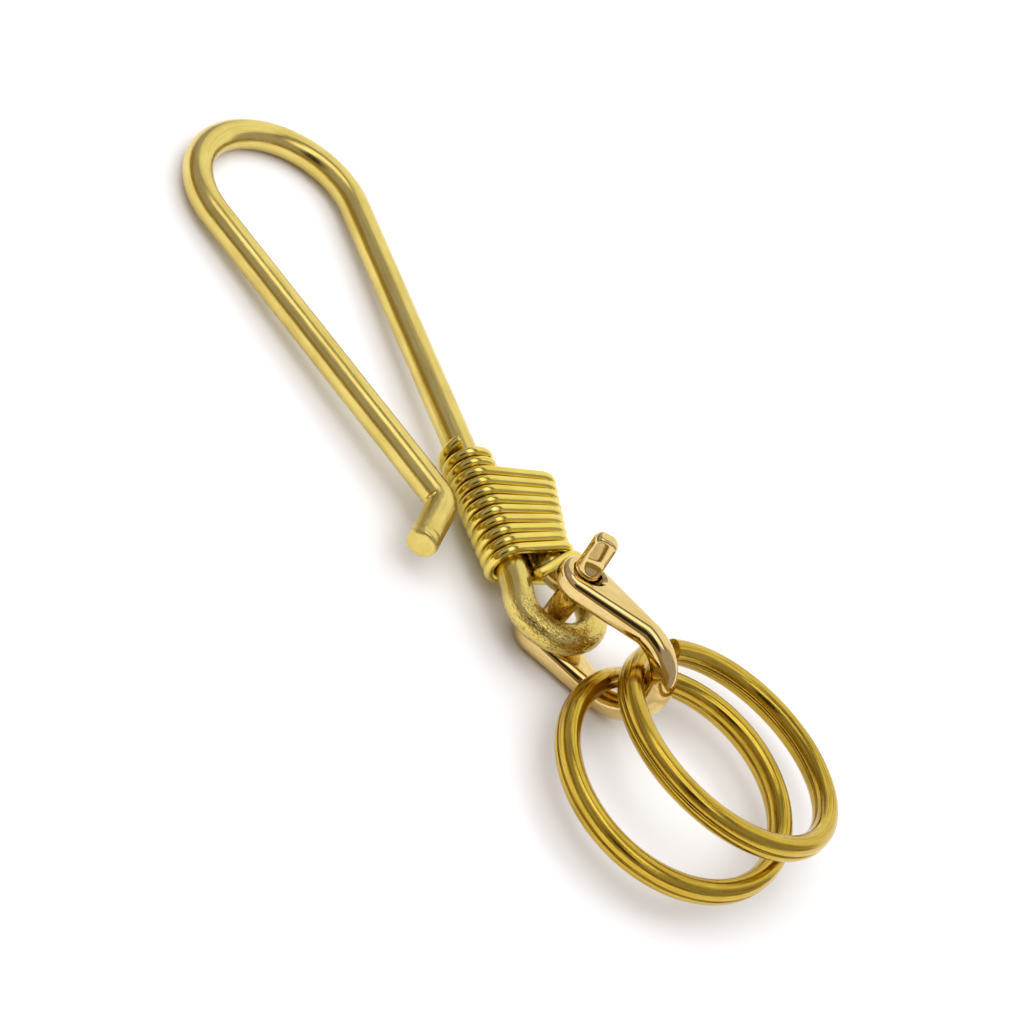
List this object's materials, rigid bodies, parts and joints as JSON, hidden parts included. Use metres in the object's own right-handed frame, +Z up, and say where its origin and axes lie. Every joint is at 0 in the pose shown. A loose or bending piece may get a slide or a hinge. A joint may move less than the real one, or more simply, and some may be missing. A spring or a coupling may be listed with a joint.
{
  "type": "key clip with split rings",
  "caption": "Long brass wire belt hook with a bound eye, a small screw-pin shackle and flat split key rings hanging from it.",
  "frame": {"origin": "middle of the hook's round bend, on the wire's centre line", "axes": "+X along the hook towards the rings, +Z up from the surface the clip lies on, +Y to the side of the hook's bound leg"},
  "size_m": [0.1228, 0.0461, 0.0191],
  "materials": {
    "hook_brass": "brushed",
    "binding_brass": "polished",
    "shackle_brass": "mirror polished",
    "ring_brass": "polished"
  },
  "bodies": {
    "hook": {"hook_wire": "hook_brass", "binding_wire": "binding_brass"},
    "shackle": {"shackle": "shackle_brass"},
    "pin": {"shackle_pin": "shackle_brass"},
    "ring_lower": {"split_ring_lower": "ring_brass"},
    "ring_upper": {"split_ring_upper": "ring_brass"}
  },
  "joints": [
    {"name": "shackle_swing", "type": "hinge", "parent": "hook", "child": "shackle", "pos_m": [0.06785, 0.00418, 0.00416], "axis": [-0.1062, 0.0821, 0.991], "range_deg": [-90, 55]},
    {"name": "pin_withdraw", "type": "slide", "parent": "shackle", "child": "pin", "axis": [-0.1062, 0.0821, 0.991], "range_m": [0, 0.0135]},
    {"name": "ring_lower_swing", "type": "hinge", "parent": "shackle", "child": "ring_lower", "pos_m": [0.08243, 0.00984, 0.00525], "axis": [0, 0, 1], "range_deg": [-8, 0]},
    {"name": "ring_upper_swing", "type": "hinge", "parent": "shackle", "child": "ring_upper", "pos_m": [0.08243, 0.00984, 0.00525], "axis": [-0.1062, 0.0821, 0.991], "range_deg": [0, 20]}
  ]
}
